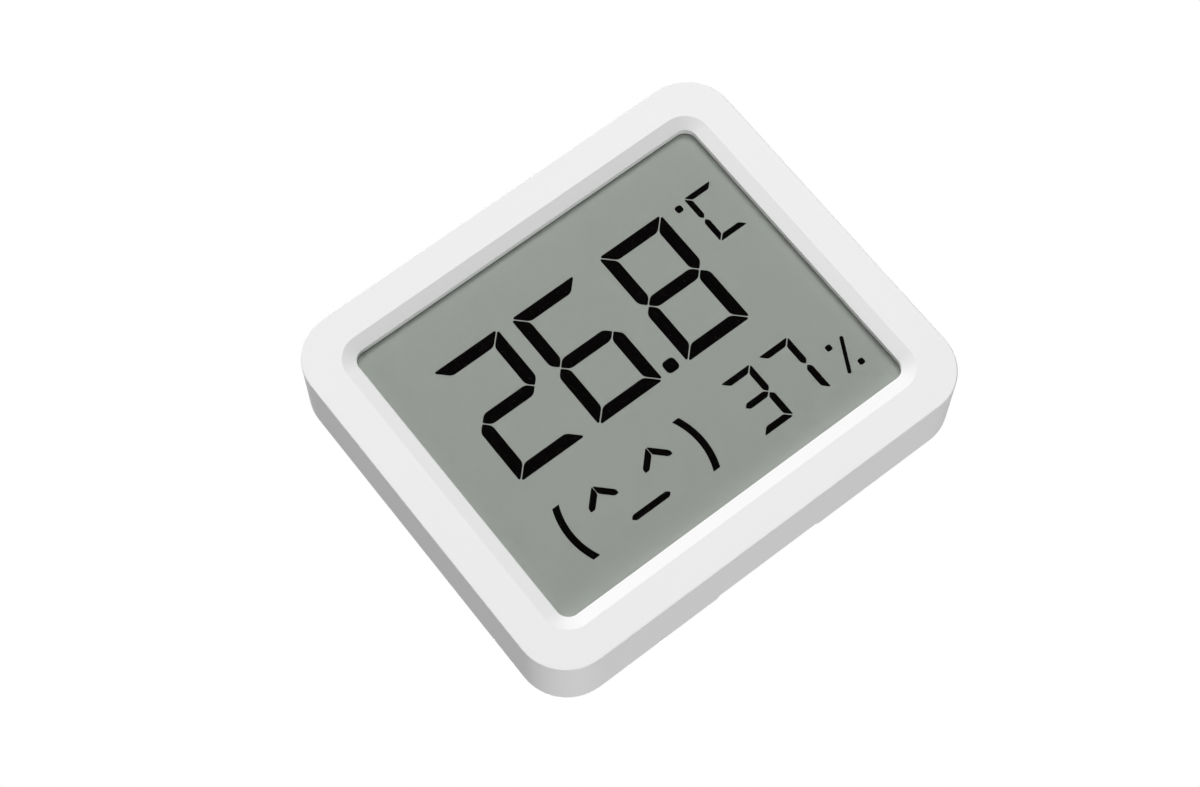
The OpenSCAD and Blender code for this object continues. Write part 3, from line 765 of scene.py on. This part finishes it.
class SENSOR_OT_power_finish(bpy.types.Operator):
    """Finish the coin cell, its holder and its contacts"""

    bl_idname = "sensor.power_finish"
    bl_label = "Finish the cell"

    def execute(self, context):
        colours = context.scene.sensor_colours
        spring = metal("spring_nickel", colours.nickel)
        dress({
            "cell_holder": moulded("holder_black", colours.epoxy, roughness=0.5),
            "coin_cell": cell_can(colours.steel),
            "positive_clips": spring,
            "negative_contact": spring,
        })
        return {"FINISHED"}


class SENSOR_OT_temperature_digits(bpy.types.Operator):
    """Add the temperature digits and their decimal point"""

    bl_idname = "sensor.temperature_digits"
    bl_label = "Add the temperature digits"

    def execute(self, context):
        signs = context.scene.sensor_signs
        size = (signs.digit_w, signs.digit_h, signs.digit_stroke, signs.segment_gap)
        plates("temperature_tens", sign("2", signs.tens_at, *size), signs.plate_t)
        plates("temperature_units", sign("6", signs.units_at, *size), signs.plate_t)
        plates("temperature_tenths", sign("8", signs.tenths_at, *size), signs.plate_t)
        plates("decimal_point", [dot(signs.point_at, signs.point_w)], signs.plate_t)
        return {"FINISHED"}


class SENSOR_OT_unit_sign(bpy.types.Operator):
    """Add the degree dot and the unit letter"""

    bl_idname = "sensor.unit_sign"
    bl_label = "Add the unit sign"

    def execute(self, context):
        signs = context.scene.sensor_signs
        letter = sign("C", signs.unit_at, signs.unit_w, signs.unit_h, signs.unit_stroke, signs.segment_gap)
        plates("unit_sign", [dot(signs.degree_at, signs.degree_w), *letter], signs.plate_t)
        return {"FINISHED"}


class SENSOR_OT_humidity_digits(bpy.types.Operator):
    """Add the humidity digits and the percent sign"""

    bl_idname = "sensor.humidity_digits"
    bl_label = "Add the humidity digits"

    def execute(self, context):
        signs = context.scene.sensor_signs
        size = (signs.small_w, signs.small_h, signs.small_stroke, signs.segment_gap)
        plates("humidity_tens", sign("3", signs.small_tens_at, *size), signs.plate_t)
        plates("humidity_units", sign("7", signs.small_units_at, *size), signs.plate_t)
        dots = [dot(centre, signs.percent_dot) for centre in (signs.percent_high_at, signs.percent_low_at)]
        slash = round_bar(signs.slash_at, signs.slash_span, signs.slash_stroke)
        plates("percent_sign", [*dots, slash], signs.plate_t)
        return {"FINISHED"}


class SENSOR_OT_comfort_sign(bpy.types.Operator):
    """Add the comfort sign: two eyes and a mouth between round brackets"""

    bl_idname = "sensor.comfort_sign"
    bl_label = "Add the comfort sign"

    def execute(self, context):
        signs = context.scene.sensor_signs
        end = bracket(signs.bracket_r, signs.bracket_stroke, signs.mood_h) - (signs.mood_w / 2, 0)
        stroke = eye(signs.eye_w, signs.mood_stroke, signs.segment_gap / 2)
        pair = np.array([stroke, mirrored(stroke, x=-1)])
        eyes = [shape + (side * signs.eye_out, signs.eye_up) for side in (-1, 1) for shape in pair]
        mouth = pointed_bar((0, -signs.mouth_down), signs.mouth_w, signs.mood_stroke)
        shapes = [end, mirrored(end, x=-1), *eyes, mouth]
        plates("comfort_sign", [shape + signs.mood_at for shape in shapes], signs.plate_t)
        return {"FINISHED"}


def lamp(name, level):
    """Square soft lamp that looks at the case and gives a white surface that faces it this level of light.

    Its energy is the level times the square of the distance times pi twice, once for the lamp's spread and
    once for the matt surface's.
    """
    towards, size, casts_shadow = LAMPS[name]
    target = (CAD_BOX[0] + CAD_BOX[1]) / 2
    data = bpy.data.lights.new(name, "AREA")
    data.shape = "SQUARE"
    data.size = size
    data.energy = level * (math.pi * LAMP_DISTANCE) ** 2
    data.use_shadow = casts_shadow
    lit = bpy.data.objects.new(name, data)
    direction = Vector(towards).normalized()
    lit.location = target + direction * LAMP_DISTANCE
    lit.rotation_euler = direction.to_track_quat("Z", "Y").to_euler()
    bpy.context.scene.collection.objects.link(lit)


def floor_disc(radius, rings=24, spokes=96):
    """Floor: a disc of points at a radius that grows by squares and a turn about the case, closed inside."""
    turn = np.linspace(0, 2 * np.pi, spokes, endpoint=False)
    reach = radius * np.linspace(0, 1, rings + 1)[1:] ** 2
    x, y = np.outer(reach, np.cos(turn)).ravel(), np.outer(reach, np.sin(turn)).ravel()
    points = np.stack([x, y, np.full_like(x, -FLOOR_DROP)], axis=1)
    points = np.concatenate([points, [[0, 0, -FLOOR_DROP]]])
    near = np.arange(spokes * (rings - 1)).reshape(rings - 1, spokes)
    beside = np.roll(near, -1, axis=1)
    quads = np.stack([near, near + spokes, beside + spokes, beside], axis=-1)
    first = np.arange(spokes)
    fan = np.stack([np.full(spokes, len(points) - 1), first, np.roll(first, -1)], axis=1)
    mesh = bpy.data.meshes.new("floor")
    mesh.from_pydata(points, [], quads.reshape(-1, 4).tolist() + fan.tolist())
    floor = bpy.data.objects.new("floor", mesh)
    bpy.context.scene.collection.objects.link(floor)
    return floor


def floor_finish(base, radius):
    """Pale matt floor that fades into the background at its rim and lets a camera below it see through.

    It darkens where the case shelters it from the light above, because the top fill itself casts no shadow.
    """
    finish = Finish("pale_floor")
    x, y, _ = finish.axes()
    rim = (x * x + y * y) / radius**2
    under = finish.node("NewGeometry", None, None, "Backfacing")
    open_sky = finish.node("AmbientOcclusion", {"samples": FLOOR_RAYS}, {"Distance": FLOOR_SHELTER}, "AO")
    tone = finish.mix(open_sky, (0, 0, 0), finish.varied(base, 0.01, finish.grain(40 * MM)))
    paper = finish.node("BsdfDiffuse", None, {"Color": tone})
    clear = finish.node("BsdfTransparent")
    gone = finish.math("MINIMUM", rim, 1.0).either(under)
    return finish.end(finish.node("MixShader", None, {0: gone, 1: paper, 2: clear}))


def surround(level):
    """World: an even light of that level, and white where the camera, a reflection or glass looks at it."""
    world = bpy.data.worlds.new("surround")
    world.use_nodes = True
    nodes = Nodes(world.node_tree)
    camera = nodes.node("LightPath", output="Is Camera Ray")
    seen = camera.either(camera.output("Is Glossy Ray")).either(camera.output("Is Transmission Ray"))
    light = nodes.node("Background", None, {"Color": (1, 1, 1, 1), "Strength": level + (1 - level) * seen})
    nodes.node("OutputWorld", None, {"Surface": light})
    bpy.context.scene.world = world


class SENSOR_OT_stage(bpy.types.Operator):
    """Add the floor, the soft light and the camera"""

    bl_idname = "sensor.stage"
    bl_label = "Add the stage"

    def execute(self, context):
        stage = context.scene.sensor_stage
        floor = floor_disc(stage.floor_r)
        floor.data.materials.append(floor_finish(stage.floor, stage.floor_r))
        floor.visible_diffuse = False
        floor.visible_glossy = False
        floor.visible_transmission = False
        floor.visible_shadow = False
        surround(stage.ambient)
        for name in LAMPS:
            lamp(name, getattr(stage, name))
        data = bpy.data.cameras.new("camera")
        data.sensor_width = SENSOR_WIDTH
        data.lens = stage.lens / MM
        data.clip_start, data.clip_end = CAMERA_REACH
        camera = bpy.data.objects.new("camera", data)
        camera.location = stage.camera_at
        camera.rotation_euler = stage.camera_turn
        context.scene.collection.objects.link(camera)
        context.scene.camera = camera
        context.scene.view_settings.view_transform = "Standard"
        return {"FINISHED"}


class SENSOR_PT_build(bpy.types.Panel):
    """Lists the steps that dress the sensor, and what can be changed in them"""

    bl_idname = "SENSOR_PT_build"
    bl_label = "Sensor"
    bl_space_type = "VIEW_3D"
    bl_region_type = "UI"
    bl_category = "Sensor"

    def draw(self, context):
        for step in STEPS:
            self.layout.operator(step.bl_idname)
        for name, group in GROUPS.items():
            column = self.layout.column(heading=group.__doc__)
            for key in group.__annotations__:
                column.prop(getattr(context.scene, name), key)


STEPS = (
    SENSOR_OT_case_finish,
    SENSOR_OT_display_finish,
    SENSOR_OT_board_finish,
    SENSOR_OT_power_finish,
    SENSOR_OT_temperature_digits,
    SENSOR_OT_unit_sign,
    SENSOR_OT_humidity_digits,
    SENSOR_OT_comfort_sign,
    SENSOR_OT_stage,
)
GROUPS = {"sensor_signs": DisplaySigns, "sensor_colours": Colours, "sensor_stage": Stage}


def register():
    """Registers the property groups, the operators and the panel."""
    for name, group in GROUPS.items():
        bpy.utils.register_class(group)
        setattr(bpy.types.Scene, name, bpy.props.PointerProperty(type=group))
    for step in (*STEPS, SENSOR_PT_build):
        bpy.utils.register_class(step)


def unregister():
    """Takes back what register added."""
    for step in (*STEPS, SENSOR_PT_build):
        bpy.utils.unregister_class(step)
    for name, group in GROUPS.items():
        delattr(bpy.types.Scene, name)
        bpy.utils.unregister_class(group)


def main():
    """Dresses the frame, sets the stage and writes the boxes of the CAD model and of the dressed one."""
    register()
    bpy.ops.sensor.case_finish()
    bpy.ops.sensor.display_finish()
    bpy.ops.sensor.board_finish()
    bpy.ops.sensor.power_finish()
    bpy.ops.sensor.temperature_digits()
    bpy.ops.sensor.unit_sign()
    bpy.ops.sensor.humidity_digits()
    bpy.ops.sensor.comfort_sign()
    bpy.ops.sensor.stage()


if __name__ == "__main__":
    main()
